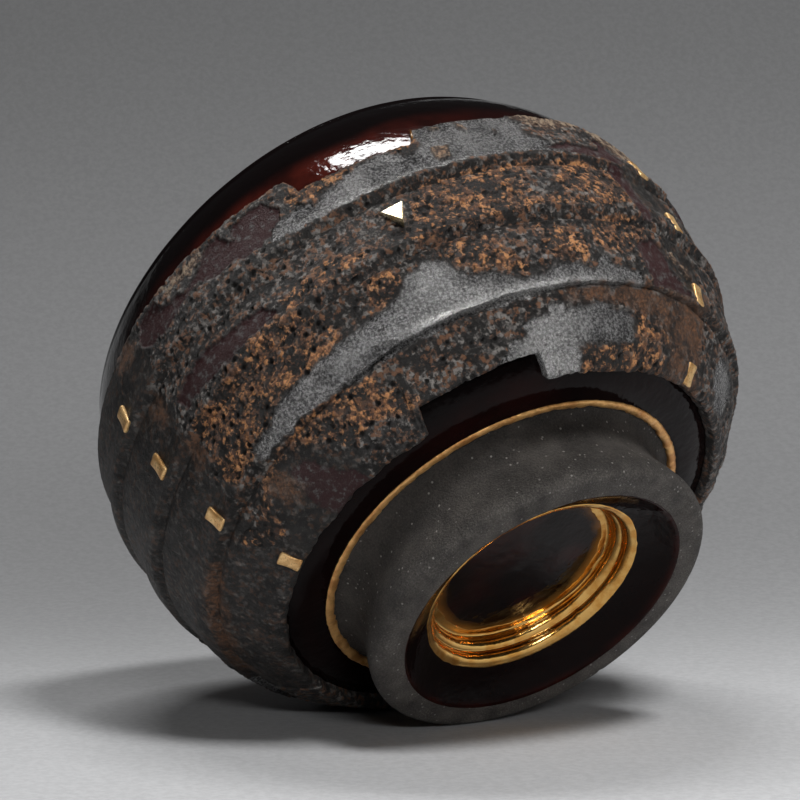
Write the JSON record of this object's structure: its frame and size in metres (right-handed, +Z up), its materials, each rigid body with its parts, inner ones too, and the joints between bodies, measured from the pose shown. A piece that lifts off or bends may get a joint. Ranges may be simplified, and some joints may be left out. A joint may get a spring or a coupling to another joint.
{
  "type": "tea bowl",
  "caption": "Hand-built stoneware tea bowl on a turned foot ring, its dark glaze wrapped in a terraced crust of slip with gold accents.",
  "frame": {"origin": "under the middle of the bowl's bounding box, at the height of the surface it stands on", "axes": "+Z up out of the bowl's mouth, with the foot ring at the bottom; +X towards the broken-out step in the crust's lower edge"},
  "size_m": [0.1228, 0.1222, 0.089],
  "materials": {
    "crust": "matte charcoal and rust slip crust, rough and crumbly",
    "glaze": "glossy black to deep oxblood glaze",
    "clay": "bare matte dark grey stoneware",
    "gold": "fired gold lustre, bright in the foot well, soft elsewhere"
  },
  "bodies": {
    "root": {"tea_bowl": "crust"}
  },
  "joints": []
}
